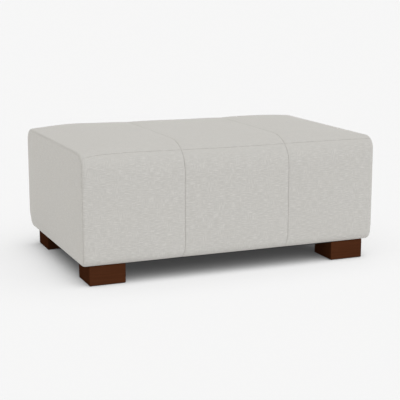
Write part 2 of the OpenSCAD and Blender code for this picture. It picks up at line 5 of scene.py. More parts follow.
import bmesh
import bpy
import numpy as np
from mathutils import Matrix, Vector

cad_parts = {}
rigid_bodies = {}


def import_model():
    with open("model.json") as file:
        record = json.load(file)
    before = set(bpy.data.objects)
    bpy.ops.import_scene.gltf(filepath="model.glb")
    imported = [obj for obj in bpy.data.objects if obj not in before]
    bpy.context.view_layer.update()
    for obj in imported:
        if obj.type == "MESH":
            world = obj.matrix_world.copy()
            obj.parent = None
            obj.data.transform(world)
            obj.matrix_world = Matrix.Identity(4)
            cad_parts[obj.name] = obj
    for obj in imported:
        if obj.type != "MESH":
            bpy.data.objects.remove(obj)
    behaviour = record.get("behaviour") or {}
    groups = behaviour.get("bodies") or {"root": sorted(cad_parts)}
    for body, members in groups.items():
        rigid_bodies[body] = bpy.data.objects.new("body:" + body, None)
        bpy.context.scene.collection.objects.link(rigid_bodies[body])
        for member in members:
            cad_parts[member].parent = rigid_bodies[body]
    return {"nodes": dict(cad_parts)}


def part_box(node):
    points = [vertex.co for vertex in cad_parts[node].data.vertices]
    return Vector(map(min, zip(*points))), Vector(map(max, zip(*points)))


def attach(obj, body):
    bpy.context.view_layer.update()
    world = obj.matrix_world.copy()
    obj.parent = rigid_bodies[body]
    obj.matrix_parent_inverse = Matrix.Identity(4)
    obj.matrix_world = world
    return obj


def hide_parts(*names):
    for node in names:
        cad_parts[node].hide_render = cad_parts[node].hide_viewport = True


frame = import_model()
nodes = frame["nodes"]
scene = bpy.context.scene
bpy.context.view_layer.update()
mm = 0.001


# The camera stands where the photograph was taken from
view = {
    "place": (-1.3832, -3.3800, 0.9192), "yaw": 22.460, "pitch": 11.527, "focal": 1092.99, "frame": 400,
    "sensor": 36, "farthest": 200,
}


def placed(name, data, towards=None):
    thing = bpy.data.objects.new(name, data)
    scene.collection.objects.link(thing)
    if towards:
        thing.rotation_mode = "QUATERNION"
        thing.rotation_quaternion = Vector(towards).to_track_quat("-Z", "Y")
    return thing


def placeCamera():
    lens = bpy.data.cameras.new("camera")
    lens.sensor_width = view["sensor"]
    lens.lens = view["focal"] / view["frame"] * view["sensor"]
    lens.clip_end = view["farthest"]
    yaw, pitch = math.radians(view["yaw"]), math.radians(view["pitch"])
    ahead = math.sin(yaw) * math.cos(pitch), math.cos(yaw) * math.cos(pitch), -math.sin(pitch)
    scene.camera = placed("camera", lens, ahead)
    scene.camera.location = view["place"]


placeCamera()
print("camera placed")


class Strand:
    # a shader socket that can be added, taken away and multiplied
    def __init__(self, finish, socket):
        self.finish, self.socket = finish, socket

    def maths(self, operation, *values):
        # with no values it works on the strand alone
        return self.finish.add("ShaderNodeMath", {"operation": operation}, dict(enumerate(values or (self,))))

    def __add__(self, other):
        return self.maths("ADD", self, other)

    def __sub__(self, other):
        return self.maths("SUBTRACT", self, other)

    def __rsub__(self, other):
        return self.maths("SUBTRACT", other, self)

    def __mul__(self, other):
        return self.maths("MULTIPLY", self, other)

    __radd__ = __add__
    __rmul__ = __mul__


class Finish:
    # one procedural material: constants go on the shader, and finished() links what varies
    def __init__(self, name, slot, weave=False, **look):
        self.slot = slot
        self.material = bpy.data.materials.new(name)
        self.material.use_nodes = True
        self.tree = self.material.node_tree
        self.shader = self.tree.nodes["Principled BSDF"]
        for socket, value in look.items():
            self.shader.inputs[socket.replace("_", " ")].default_value = value
        if weave:
            self.place = self.add("ShaderNodeAttribute", {"attribute_name": "weave"}, output="Vector")
        else:
            self.place = self.add("ShaderNodeTexCoord", output="Object")

    def add(self, kind, settings=None, inputs=None, output=0):
        node = self.tree.nodes.new(kind)
        for key, value in (settings or {}).items():
            setattr(node, key, value)
        for key, value in (inputs or {}).items():
            if isinstance(value, Strand):
                self.tree.links.new(value.socket, node.inputs[key])
            else:
                node.inputs[key].default_value = value
        return Strand(self, node.outputs[output])

    def stretched(self, scale):
        return self.add("ShaderNodeVectorMath", {"operation": "MULTIPLY"}, {0: self.place, 1: scale})

    def axis(self, vector, number):
        return self.add("ShaderNodeSeparateXYZ", None, {0: vector}, number)

    def threads(self, number, width):
        # a wave along one axis, with threads of this width in metres
        return self.axis(self.stretched((math.pi / width,) * 3), number).maths("SINE")

    def plainWeave(self, width):
        return self.threads(0, width) * self.threads(1, width)

    def texture(self, kind, scale, settings=None, **inputs):
        # scale is one number, or one for each axis
        even = isinstance(scale, (int, float))
        vector, size = (self.place, scale) if even else (self.stretched(scale), 1)
        return self.add(kind, settings, {"Vector": vector, "Scale": size, **inputs})

    def noise(self, scale, detail=3, roughness=0.6):
        return self.texture("ShaderNodeTexNoise", scale, Detail=detail, Roughness=roughness)

    def cells(self, scale, settings=None, **inputs):
        return self.texture("ShaderNodeTexVoronoi", scale, settings, **inputs)

    def ranged(self, value, low=0.3, high=0.7, to=(0, 1)):
        return self.add("ShaderNodeMapRange", {"clamp": True},
                        {"Value": value, "From Min": low, "From Max": high, "To Min": to[0], "To Max": to[1]})

    def blended(self, share, first, second):
        # each colour may be a strand too
        first, second = (tint if isinstance(tint, Strand) else (*tint, 1) for tint in (first, second))
        return self.add("ShaderNodeMix", {"data_type": "RGBA"}, {0: share, 6: first, 7: second}, 2)

    def wire(self, **links):
        for socket, strand in links.items():
            self.tree.links.new(strand.socket, self.shader.inputs[socket.replace("_", " ")])

    def finished(self, look, share, height, first=None, second=None, **links):
        # the colour goes from dark to light, or between two others, and the height becomes a bump
        tint = self.blended(share, first or look["dark"], second or look["light"])
        strength, distance = look["bump"]
        bump = self.add("ShaderNodeBump", None, {"Height": height, "Strength": strength, "Distance": distance})
        self.wire(Base_Color=tint, Normal=bump, **links)
        return self


def blend(first, second, share):
    return first + (second - first) * share


# The outer surface in millimetres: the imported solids, set closer to the photograph
body = {
    "length": 1004, "depth": 650, "height": 429, "footHeight": 63,
    "bulge": 4.5, "bulgeReach": 120, "crown": 16, "crownPower": 3.4,
    "endCorner": 45, "middleCorner": (138, 106), "cornerPower": 2.4,
    "lowerEdge": 28, "endEdge": 12, "turnUnder": 42, "topSeamDrop": 10,
    "seams": (-167.2, 186.5), "draw": 1.0, "drawReach": 5, "fullness": 3, "fullReach": 45,
    "seatSettled": ((60, 170, -3.2), (-385, 90, 5)), "seamSettled": ((60, 220, -3), (-370, 110, 2.5)),
    "settledPower": 6, "heart": (0, 0, 240),
}
halfLength = body["length"] / 2 - body["bulge"]
halfDepth = body["depth"] / 2
edgeX = halfLength - body["endEdge"]
endTop = body["height"] - body["crown"]
endArc = body["endEdge"] * math.pi / 4
seamIn = body["draw"] + body["fullness"]


def middleShare(x):
    return 1 - np.minimum(1, np.abs(x) / edgeX) ** body["crownPower"]


def settled(x, name):
    # the seat is lower right of the middle and fuller near the left end
    shift = sum(size * np.exp(-((x - place) / reach) ** 2) for place, reach, size in body[name])
    return shift * (1 - np.minimum(1, np.abs(x) / edgeX) ** body["settledPower"])


def topHeight(x):
    return body["height"] - body["crown"] * (1 - middleShare(x)) + settled(x, "seatSettled")


def upperCorner(x):
    share = middleShare(x)
    depth, height = (blend(body["endCorner"], size, share) for size in body["middleCorner"])
    return depth, height, 2 / blend(2, body["cornerPower"], share)


# Half of the girth: s is 0 at the turned-under hem, 1 to 2 on the lower edge, 2 to 3 on the face,
# 3 to 4 on the upper corner and 5 in the middle of the top
def halfGirth(x, s, inset):
    lower = body["lowerEdge"] - inset
    depth, height, power = upperCorner(x)
    depth, height = depth - inset, height - inset
    out, low, top = halfDepth - inset, body["footHeight"] + inset, topHeight(x) - inset
    lowTurn, highTurn = (np.clip(s - start, 0, 1) * np.pi / 2 for start in (1, 3))
    bands = [s < 1, s < 2, s < 3, s < 4]
    y = np.select(bands, [halfDepth - blend(body["turnUnder"], body["lowerEdge"], s) + 0 * inset,
                          out - lower + lower * np.sin(lowTurn), out + 0 * s,
                          out - depth + depth * np.abs(np.cos(highTurn)) ** power], (out - depth) * (5 - s))
    z = np.select(bands, [low + 0 * s, low + lower - lower * np.cos(lowTurn),
                          blend(low + lower, top - height, s - 2),
                          top - height + height * np.sin(highTurn) ** power], top + 0 * s)
    return y, z


def seamPlace(x):
    # where the seam between the side panels and the top runs
    height, power = upperCorner(x)[1:]
    up = height - (topHeight(x) - (endTop - body["topSeamDrop"] + settled(x, "seamSettled")))
    return 3 + np.degrees(np.arcsin((up / height) ** (1 / power))) / 90


def nearSeam(along, across, reach):
    return 1 - (1 - np.exp(-along / reach)) * (1 - np.exp(-across / reach))


def seamAcross(x, s):
    # how far each place is from the seam under the seat
    (y, seamY), (z, seamZ) = zip(halfGirth(x, s, 0 * s), halfGirth(x, seamPlace(x), 0 * s))
    return np.hypot(y - seamY, z - seamZ)


def seamDip(x, s, toSeam):
    across = seamAcross(x, s)
    return np.clip(s - 1, 0, 1) * (body["draw"] * nearSeam(toSeam, across, body["drawReach"])
                                   + body["fullness"] * nearSeam(toSeam, across, body["fullReach"]))


# The linen cover: eleven panels that fold into their seams and are filled out by a cloth simulation
cover = {
    "thickness": 1.3, "gap": 0.2, "spacing": 5, "foldRadius": 1.6,
    "fold": ((0, 2.2), (0, 1.1), (0, 0), (0.25, 0), (0.6, 0), (1.1, 0), (1.6, 0), (3.2, 0), (5.8, 0), (9.4, 0)),
    "hem": ((0, 0), (4, 0), (9.4, 0)),
    "sharpness": {"side": 0.85, "seat": 0.45, "edge": 0.55, "end": 0.5},
    "sway": 8, "swayTop": 108, "swayReach": 70, "swayPower": 1.6, "widenHeight": (68, 125),
    "widenLeft": (0.0005, 0.0105), "widenRight": 0.0055,
    "pucker": 0.22, "puckerReach": 16, "puckerWaves": ((23, 0.5), (37, 0.3), (14.3, 0.2)),
    "puckerTurn": 2.1, "puckerShift": 0.7, "seatPower": 4,
    "samples": 1201, "endColumns": 111, "lastRing": 12, "rimLength": 300, "topLength": 290, "rimFade": 0.5,
    "flapTurns": (90, 75), "flapRows": (30, 23, 16, 8),
    "fillSpacing": 14, "fillColumns": 42, "frames": 16,
    "fill": {"top": 1.4, "front": 2.2, "back": 2.2, "end": 2.2},
    "cloth": {"vertex_group_mass": "seams", "quality": 5, "mass": 0.25, "tension_stiffness": 12,
              "compression_stiffness": 12, "shear_stiffness": 6, "bending_stiffness": 2,
              "use_pressure": True, "uniform_pressure_force": 1.2},
}


def borderSteps(total, start, end):
    middle = np.linspace(start[-1][0], total - end[-1][0],
                         round((total - start[-1][0] - end[-1][0]) / cover["spacing"]) + 1)[1:-1]
    at = [step for step, down in start] + list(middle) + [total - step for step, down in reversed(end)]
    down = [down for step, down in start] + [0] * len(middle) + [down for step, down in reversed(end)]
    return np.array(at), np.array(down)


def foldDrop(edge, down, sharpness):
    radius = cover["foldRadius"] * sharpness
    return radius - np.sqrt(radius ** 2 - np.clip(radius - edge, 0, radius) ** 2) + down * sharpness


def eased(values, low, high):
    share = np.clip((values - low) / (high - low), 0, 1)
    return share * share * (3 - 2 * share)


def puckers(along, edge, seed):
    waves = sum(size * np.sin(2 * np.pi * along / length + cover["puckerTurn"] * seed + number)
                for number, (length, size) in enumerate(cover["puckerWaves"]))
    return cover["pucker"] * waves * np.exp(-edge / cover["puckerReach"])


def widened(points):
    # the ends stand a little further out above the lower edge
    x, y, z = (points[..., k] for k in range(3))
    left = blend(*cover["widenLeft"], (y + halfDepth) / body["depth"])
    x = x * (1 + np.where(x < 0, left, cover["widenRight"]) * eased(z, *cover["widenHeight"]))
    return np.stack([x, y, z], -1)


class GirthPanel:
    # part is left, center or right, and band is front, top or back
    def __init__(self, part, band, seed):
        self.part, self.band, self.seed = part, band, seed
        self.node = f"{band}_panel_{part}"
        self.name = f"{band}Panel{part.capitalize()}"
        self.side = {"left": -1, "center": 0, "right": 1}[part]
        low, high = body["seams"]
        self.inner = {-1: -low, 0: 0, 1: high}[self.side]
        self.width = high - low if part == "center" else edgeX - self.inner + endArc
        self.width -= cover["gap"]
        middle = 0 if part == "center" else self.side * (self.inner + edgeX) / 2
        self.length = float(self.rows(np.array([middle]), np.array([0, 1]))[1].max())
        hem, fold = cover["hem"], cover["fold"]
        self.ends = {"front": (hem, fold), "top": (fold, fold), "back": (fold, hem)}[band]

    def columns(self, u):
        # place along X, turn round the end edge in degrees, and distance to the nearest seam
        if self.part == "center":
            x = body["seams"][0] + cover["gap"] / 2 + u
            return x, np.full_like(x, 90), np.minimum(x - body["seams"][0], body["seams"][1] - x), x
        fromEnd = (u if self.side < 0 else self.width - u) + cover["gap"] / 2
        turn = 45 + np.degrees(np.minimum(fromEnd, endArc) / body["endEdge"])
        x = edgeX - np.maximum(fromEnd - endArc, 0)
        return self.side * x, turn, np.minimum(fromEnd, x - self.inner), self.side * (edgeX + endArc - fromEnd)

    def rows(self, x, share):
        # s along the girth at each x for shares of the way from one border to the other
        dense, gap = np.linspace(0, 5, cover["samples"]), cover["gap"] / 2
        s, v = np.zeros((2, len(x), len(share)))
        for column, place in enumerate(x):
            y, z = halfGirth(np.full_like(dense, place), dense, 0 * dense)
            run = np.concatenate([[0], np.cumsum(np.hypot(np.diff(y), np.diff(z)))])
            seam, whole = np.interp(seamPlace(place), dense, run), 2 * run[-1]
            start, end = {"front": (0, seam - gap), "top": (seam + gap, whole - seam - gap),
                          "back": (whole - seam + gap, whole)}[self.band]
            at = blend(start, end, share)
            here, beyond = (np.interp(value, run, dense) for value in (at, whole - at))
            s[column] = np.where(at <= run[-1], here, 10 - beyond)
            v[column] = end - at if self.band == "back" else at - start
        return s, v

    def surface(self, u, downU, v, downV, fill=None):
        x, turn, toSeam, weaveU = self.columns(u)
        s, weaveV = self.rows(x, v / self.length)
        edgeU = np.minimum(u, self.width - u)[:, None] + 0 * s
        sharp = cover["sharpness"]
        onSeat = np.sin(np.pi * v / self.length) ** cover["seatPower"] if self.band == "top" else 0 * v
        sharpU = np.where((turn < 90)[:, None], sharp["end"], blend(sharp["side"], sharp["seat"], onSeat)[None])
        fromHem = self.length - v
        edgeV = {"front": fromHem, "back": v, "top": np.minimum(v, fromHem)}[self.band][None] + 0 * s
        drop = np.hypot(foldDrop(edgeU, downU[:, None], sharpU), foldDrop(edgeV, downV[None], sharp["edge"]))
        drop = np.minimum(drop, cover["foldRadius"] + cover["fold"][0][1])
        half = np.minimum(s, 10 - s)
        x, turn, toSeam = (np.repeat(values[:, None], len(v), 1) for values in (x, turn, toSeam))
        lift = np.clip(half - 1, 0, 1)
        pucker = puckers(v[None], edgeU, self.seed) + puckers(u[:, None], edgeV, self.seed + cover["puckerShift"])
        drop = drop + lift * pucker
        dip = seamDip(x, half, toSeam)
        radius, bent = body["endEdge"], turn < 90
        angle = np.radians(turn)
        inset = np.where(bent, dip + radius - (radius - drop) * np.sin(angle), dip + drop)
        y, z = halfGirth(x, half, inset)
        out = np.where(bent, x + np.sign(x) * (radius - drop) * np.cos(angle), x)
        if self.band == "front":
            low = np.clip((cover["swayTop"] - z) / (cover["swayTop"] - body["footHeight"]), 0, 1)
            near = sum(np.exp(-((x - seam) / cover["swayReach"]) ** 2) for seam in body["seams"])
            out = out - cover["sway"] * low ** cover["swayPower"] * near
        points = np.stack([out, np.where(s > 5, y, -y), z], -1)
        if fill is not None:
            points = points + smooth2d(fill, u / self.width, v / self.length)
        weave = np.stack([np.repeat(weaveU[:, None], len(v), 1), weaveV, np.full_like(s, self.seed)], -1)
        return points, weave

    def coarse(self):
        u, v = (np.linspace(0, size, round(size / cover["fillSpacing"]) + 1)
                for size in (self.width, self.length))
        return self.surface(u, 0 * u, v, 0 * v)[0]

    def make(self, fill):
        u, downU = borderSteps(self.width, cover["fold"], cover["fold"])
        v, downV = borderSteps(self.length, *self.ends)
        points, weave = self.surface(u, downU, v, downV, fill)
        return widened(points).reshape(-1, 3), gridFaces(len(u), len(v)), weave.reshape(-1, 3)

    def flat(self):
        allowance = 2 * (cover["foldRadius"] + cover["fold"][0][1])
        return self.width + allowance, self.length + allowance


def smooth1d(values, at):
    # Catmull-Rom samples of evenly spaced values along the first axis
    last = len(values) - 1
    place = np.clip(at, 0, 1) * last
    i = np.minimum(place.astype(int), last - 1)
    t = (place - i)[:, None, None]
    a, b, c, d = (values[np.clip(i + k, 0, last)] for k in (-1, 0, 1, 2))
    return b + 0.5 * t * (c - a + t * (2 * a - 5 * b + 4 * c - d + t * (3 * (b - c) + d - a)))


def smooth2d(values, u, v):
    across = smooth1d(values, u)
    return smooth1d(across.transpose(1, 0, 2), v).transpose(1, 0, 2)


def gridFaces(rows, columns, start=0):
    # quads of a grid whose points run along the second axis first
    return [(start + i * columns + j, start + (i + 1) * columns + j,
             start + (i + 1) * columns + j + 1, start + i * columns + j + 1)
            for i in range(rows - 1) for j in range(columns - 1)]


def flipped(faces):
    return [face[::-1] for face in faces]


def gridRim(rows, columns):
    # the points round the edge of such a grid
    index = np.arange(rows * columns).reshape(rows, columns)
    return np.concatenate([index[0, :-1], index[:-1, -1], index[-1, :0:-1], index[:0:-1, 0]]).tolist()


class EndPanel:
    # a middle of rows and columns with rings that run over the edge roll into the seam;
    # s is the place up the rim and c the share of the way across, -1 at the front and 1 at the back
    def __init__(self, side, seed):
        self.side, self.seed = side, seed
        word = "left" if side < 0 else "right"
        self.node, self.name = f"end_panel_{word}", f"endPanel{word.capitalize()}"
        self.rings = [step for step, down in cover["fold"] if down == 0] + [cover["lastRing"]]
        self.inner = body["endEdge"] + self.rings[-1] + cover["gap"] / 2 - endArc

    def rowPlaces(self, spacing):
        face = endTop - body["endCorner"] - body["footHeight"] - body["lowerEdge"]
        counts = [max(2, round(length / spacing)) for length in
                  (body["lowerEdge"] * math.pi / 2, face, body["endCorner"] * math.pi / 2)]
        return np.concatenate([np.linspace(k + 1, k + 2, count + 1)[k > 0:] for k, count in enumerate(counts)])

    def rim(self, s, inset):
        s = np.asarray(s, float)
        return halfGirth(np.full_like(s, halfLength), s, inset + seamIn * np.clip(s - 1, 0, 1))

    def insideRim(self, y, z, inset):
        y = np.abs(y)
        topY, topZ = y - (halfDepth - body["endCorner"]), z - (endTop - body["endCorner"])
        lowY, lowZ = y - (halfDepth - body["lowerEdge"]), body["footHeight"] + body["lowerEdge"] - z
        turned = seamIn * np.degrees(np.arctan2(lowY, np.maximum(lowZ, 1e-6))) / 90
        inTop = body["endCorner"] - inset - seamIn - np.hypot(topY, topZ)
        inLow = body["lowerEdge"] - inset - turned - np.hypot(lowY, lowZ)
        straight = np.minimum(halfDepth - y, endTop - z) - inset - seamIn
        straight = np.minimum(straight, z - body["footHeight"] - inset)
        return np.where((topY > 0) & (topZ > 0), inTop, np.where((lowY > 0) & (lowZ > 0), inLow, straight))

    def face(self, s, c, inset):
        # places on the end, how deep each lies inside the rim, and how far it swells
        y, z = self.rim(s, inset)
        y, z = y[:, None] * c[None], np.repeat(z[:, None], len(c), 1)
        depth = inset + np.maximum(self.insideRim(y, z, inset), 0)
        return y, z, depth, self.swell(np.clip((depth - body["endEdge"]) / body["bulgeReach"], 0, 1))

    def swell(self, share):
        # how far the end stands out, for a share of the way in from its rim
        return body["bulge"] * share * (2 - share)

    def middle(self, s, c):
        y, z, depth, swell = self.face(s, c, self.inner)
        return np.stack([edgeX + body["endEdge"] + swell, y, z], -1)

    def coarse(self):
        s, c = self.rowPlaces(cover["fillSpacing"]), np.linspace(-1, 1, cover["fillColumns"])
        return self.middle(s, c) * (self.side, 1, 1)

    def make(self, fill):
        s, c = self.rowPlaces(cover["spacing"]), np.linspace(-1, 1, cover["endColumns"])
        points = self.middle(s, c)
        if fill is not None:
            points = points + smooth2d(fill, np.linspace(0, 1, len(s)), (c + 1) / 2) * (self.side, 1, 1)
        points = points.reshape(-1, 3)
        faces, parts = gridFaces(len(s), len(c)), [(points, points[:, 1:])]
        ring = [(place, -1) for place in s] + [(4, share) for share in c[1:-1]]
        ring += [(place, 1) for place in s[::-1]]
        over = [("ring", item) for item in [*cover["fold"], (self.rings[-1], 0)]]
        under = [("flap", reach) for reach in cover["flapRows"]]
        under += [("arc", angle) for angle in cover["flapTurns"]] + [("ring", (step, 0)) for step in self.rings]
        start = len(points)
        for places, items in ((ring, over), ([(1, share) for share in c[::-1]], under)):
            grid = [self.edgePoint(*place, *item) for place in places for item in items]
            parts.append(tuple(np.array([row[k] for row in grid]) for k in (0, 1)))
            faces += flipped(gridFaces(len(places), len(items), start))
            start += len(grid)
        points, flatPlace = (np.concatenate([part[k] for part in parts]) for k in (0, 1))
        if self.side < 0:
            faces = flipped(faces)
        weave = np.column_stack([flatPlace, np.full(len(points), self.seed)])
        return widened(points * (self.side, 1, 1)), faces, weave

    def edgePoint(self, s, c, kind, amount):
        # a ring lies on the face side of the edge, an arc turns under it and a flap runs on below
        if kind == "ring":
            return self.ringPoint(s, c, *amount)
        radius = body["endEdge"]
        if kind == "arc":
            angle = math.radians(amount)
            y, z = self.rimPoint(s, c, radius - radius * math.sin(angle))
            return (edgeX + radius * math.cos(angle), y, z), (y, z - radius * angle)
        y, z = self.rimPoint(s, c, 0)
        return (edgeX - amount, y, z), (y, z - radius * math.pi / 2 - amount)

    def ringPoint(self, s, c, step, down):
        run, radius = step + cover["gap"] / 2, body["endEdge"]
        angle = math.pi / 4 - min(run, endArc) / radius
        beyond = max(run - endArc, 0)
        along = s * cover["rimLength"] if abs(c) == 1 else c * cover["topLength"]
        pucker = puckers(along, step, self.seed) * (1 - step / self.rings[-1])
        drop = foldDrop(step, down, cover["sharpness"]["end"]) + pucker
        drop *= min(1, (s - 1) / cover["rimFade"])
        inset = radius - (radius - drop) * math.sin(angle) + beyond
        x = edgeX + (radius - drop) * math.cos(angle) + self.swell(beyond / body["bulgeReach"])
        return (x, *self.rimPoint(s, c, inset)), self.rimPoint(s, c, radius + run - endArc)

    def rimPoint(self, s, c, inset):
        y, z = self.rim(s, inset)
        return c * float(y), float(z)

    def flat(self):
        return 2 * halfDepth, endTop - body["footHeight"] + body["turnUnder"]


# The upper corner at the left of the front is worn rounder than the others
wornCorner = {"drop": 5, "along": 26, "back": (8, 72), "up": (345, 395)}


def wearAndPaintedHighlight(points):
    x, y, z = (points[..., k] for k in range(3))
    along = np.exp(-(np.maximum(x + edgeX, 0) / wornCorner["along"]) ** 2)
    back = 1 - eased(y + halfDepth, *wornCorner["back"])
    return np.stack([x, y, z - wornCorner["drop"] * along * back * eased(z, *wornCorner["up"])], -1)


def meshPiece(name, points, faces, finish, weave=None, merge=False, closed=True):
    mesh = bpy.data.meshes.new(name)
    mesh.from_pydata((wearAndPaintedHighlight(np.asarray(points)) * mm).tolist(), [], faces)
    if weave is not None:
        layer = mesh.attributes.new("weave", "FLOAT_VECTOR", "POINT")
        layer.data.foreach_set("vector", (np.asarray(weave) * (mm, mm, 1)).ravel())
    if merge or closed:
        work = bmesh.new()
        work.from_mesh(mesh)
        if merge:
            bmesh.ops.remove_doubles(work, verts=work.verts, dist=2e-5)
        bmesh.ops.recalc_face_normals(work, faces=work.faces)
        work.to_mesh(mesh)
        work.free()
    mesh.polygons.foreach_set("use_smooth", [True] * len(mesh.polygons))
    mesh.update()
    mesh.materials.append(finish.material)
    piece = placed(name, mesh)
    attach(piece, "root")
    return piece


def facesIn(mesh):
    # whether most of its area looks towards the middle of the stool
    heart = Vector(body["heart"]) * mm
    return sum(face.area * face.normal.dot(face.center - heart) for face in mesh.polygons) < 0


def fillOut(panels):
    # each panel is pinned along its seams and pressed out from behind, all of them at once
    runs = []
    for panel in panels:
        grid = panel.coarse()
        rows, columns = grid.shape[:2]
        mesh = bpy.data.meshes.new("fill")
        mesh.from_pydata((grid * mm).reshape(-1, 3).tolist(), [], gridFaces(rows, columns))
        mesh.update()
        if facesIn(mesh):
            mesh.flip_normals()
        cloth = placed("fill", mesh)
        cloth.vertex_groups.new(name="seams").add(gridRim(rows, columns), 1, "REPLACE")
        modifier = cloth.modifiers.new("fill", "CLOTH")
        for key, value in cover["cloth"].items():
            setattr(modifier.settings, key, value)
        modifier.settings.effector_weights.gravity = 0
        modifier.collision_settings.use_collision = False
        modifier.point_cache.frame_end = cover["frames"]
        runs.append((panel, grid, cloth))
    for number in range(1, cover["frames"] + 1):
        scene.frame_set(number)
    ready = bpy.context.evaluated_depsgraph_get()
    fills = {}
    for panel, grid, cloth in runs:
        mesh = cloth.evaluated_get(ready).data
        points = np.zeros(len(mesh.vertices) * 3)
        mesh.vertices.foreach_get("co", points)
        moved = points.reshape(grid.shape) / mm - grid
        most = float(np.linalg.norm(moved, axis=-1).max())
        kept = cover["fill"][panel.band if isinstance(panel, GirthPanel) else "end"]
        fills[panel.name] = moved * min(1, kept / max(most, 1e-6))
        print("filled", panel.name, "by", round(most, 2), "mm, kept", kept)
    for panel, grid, cloth in runs:
        bpy.data.meshes.remove(cloth.data)
    scene.frame_set(1)
    return fills


# Linen: light slubs along both threads on a quiet ground, a plain weave in the bump and a faint warm drift
linenLook = {
    "light": (0.629, 0.615, 0.585), "dark": (0.517, 0.504, 0.476), "warm": (0.55, 0.53, 0.49), "warmth": 0.16,
    "thread": 0.0009, "slubLong": 52, "slubThin": 400, "patch": 30, "drift": 9, "ground": 0.3,
    # the seat and end shares on this line are painted light: they fade the slubs where the light shows the weave
    # less
    "seatPaintedLightCalm": 0.7, "endPaintedLightCalm": 0.4, "facing": (0.3, 0.9), "patchEdge": (0.44, 0.62), "contrast": (0.45, 0.66),
    "bump": (0.6, 0.0016),
}


def linenFinish():
    look = linenLook
    linen = Finish("linen", "cover", weave=True, Roughness=0.92, Specular_IOR_Level=0.2, Sheen_Weight=0.12,
                   Sheen_Roughness=0.5)
    long, thin = look["slubLong"], look["slubThin"]
    sizes = (long, thin), (thin, long), (thin * 3, thin * 3)
    across, along, fine = (linen.noise((*size, 7), 2) for size in sizes)
    drift = linen.noise((look["drift"], look["drift"], 3), 2, 0.5)
    patch = linen.noise((look["patch"], look["patch"], 7), 2, 0.5)
    slub = across + (along - across) * linen.ranged(patch, *look["patchEdge"], (0, 0.7))
    # painted light: by the way each surface faces, the slubs are painted fainter on the seat and on the ends,
    # where the light brings out the weave less than on the front
    facing = linen.add("ShaderNodeNewGeometry", output="Normal")
    up, sideways = linen.axis(facing, 2), linen.axis(facing, 0).maths("ABSOLUTE")
    paintedLightCalm = (linen.ranged(up, *look["facing"], (0, look["seatPaintedLightCalm"]))
            + linen.ranged(sideways, *look["facing"], (0, look["endPaintedLightCalm"])))
    share = linen.ranged(slub * 0.88 + fine * 0.07 + patch * 0.05, *look["contrast"])
    tone = linen.blended(share - (share - look["ground"]) * paintedLightCalm, look["dark"], look["light"])
    height = slub * 0.75 + fine * 0.25 + linen.plainWeave(look["thread"]) * 0.10
    return linen.finished(look, linen.ranged(drift, to=(0, look["warmth"])), height, tone, look["warm"])


linen = linenFinish()
panels = [GirthPanel(part, band, 1 + number * 3 + column)
          for number, band in enumerate(("front", "top", "back"))
          for column, part in enumerate(("left", "center", "right"))]
panels += [EndPanel(-1, 10), EndPanel(1, 11)]
fills = fillOut(panels)
print("cover filled out")
for panel in panels:
    points, faces, weave = panel.make(fills[panel.name])
    ended = isinstance(panel, EndPanel)
    piece = meshPiece(panel.name, points, faces, linen, weave, merge=ended, closed=ended)
    if facesIn(piece.data):
        piece.data.flip_normals()
    shell = piece.modifiers.new("cloth thickness", "SOLIDIFY")
    shell.thickness = cover["thickness"] * mm
    shell.offset = -1
    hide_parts(panel.node)
    width, length = panel.flat()
    width * mm
    length * mm
print("cover sewn:", len(panels), "panels")


# Padding under the cover: fibre wrap, seat foam and pads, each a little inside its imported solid
padding = {
    "wrapIn": 2.2, "wrapInner": 12, "foamIn": 12.8, "coreX": 484.3, "lump": 0.5, "lumpLength": 61,
    "groove": 3.4, "grooveWidth": 4.5, "endGroove": 4.4, "endGrooveWidth": 24, "spacing": 11,
    "lumpWaves": (6.3, 9), "endLumps": (17, 23), "coreClear": 0.8, "rows": (23.8, 5.8), "topClear": 0.1,
    "seamRows": (-9, -6, -4, -2, 0, 2, 4, 6, 9), "seamClear": 12, "halfRows": 44,
    "springArch": 12, "springY": 287.1, "clear": 0.2, "blockRadius": 4, "blockStep": 12,
    "softSteps": 3, "softFrom": 40,
}
fibreLook = {
    "light": (0.88, 0.88, 0.86), "dark": (0.74, 0.74, 0.72), "tuft": 260, "wisp": 900, "bump": (0.6, 0.003),
}
foamLook = {
    "light": (0.84, 0.76, 0.5), "dark": (0.7, 0.6, 0.36), "cell": 700, "patch": 14, "bump": (0.5, 0.0012),
}


def fibreFinish():
    fibre = Finish("polyester fibre", "fibre", Roughness=0.95, Specular_IOR_Level=0.15, Sheen_Weight=0.3)
    wisp = fibre.noise((fibreLook["wisp"], fibreLook["wisp"] / 8, 400), 3, 0.7)
    fluff = fibre.noise(fibreLook["tuft"], 4, 0.7) * 0.6 + wisp * 0.4
    return fibre.finished(fibreLook, fibre.ranged(fluff, 0.35, 0.65), fluff)


def foamFinish():
    foam = Finish("foam", "foam", Roughness=0.95, Specular_IOR_Level=0.15)
    cells = foam.cells(foamLook["cell"])
    patch = foam.noise(foamLook["patch"], 3, 0.5)
    share = foam.ranged(patch) * 0.6 + foam.ranged(cells, 0, 0.6) * 0.4
    return foam.finished(foamLook, share, 1 - cells, foamLook["light"], foamLook["dark"])


def padPiece(name, node, shape, finish, softEdge=0, merge=False):
    piece = meshPiece(name, *shape, finish, merge=merge)
    if softEdge:
        bevel = piece.modifiers.new("softened edges", "BEVEL")
        bevel.width, bevel.segments = softEdge * mm, padding["softSteps"]
        bevel.angle_limit = math.radians(padding["softFrom"])
    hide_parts(node)


def nodeBox(node, clear=padding["clear"]):
    # the lowest and highest corner in millimetres, set in by a clearance
    return [corner / mm + Vector((inward,) * 3) for corner, inward in zip(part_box(node), (clear, -clear))]


def closedShell(outer, inner):
    rows, columns = outer.shape[:2]
    count, rim = rows * columns, gridRim(rows, columns)
    faces = gridFaces(rows, columns) + flipped(gridFaces(rows, columns, count))
    faces += [(here + count, there + count, there, here) for here, there in zip(rim, rim[1:] + rim[:1])]
    return np.concatenate([outer.reshape(-1, 3), inner.reshape(-1, 3)]), faces


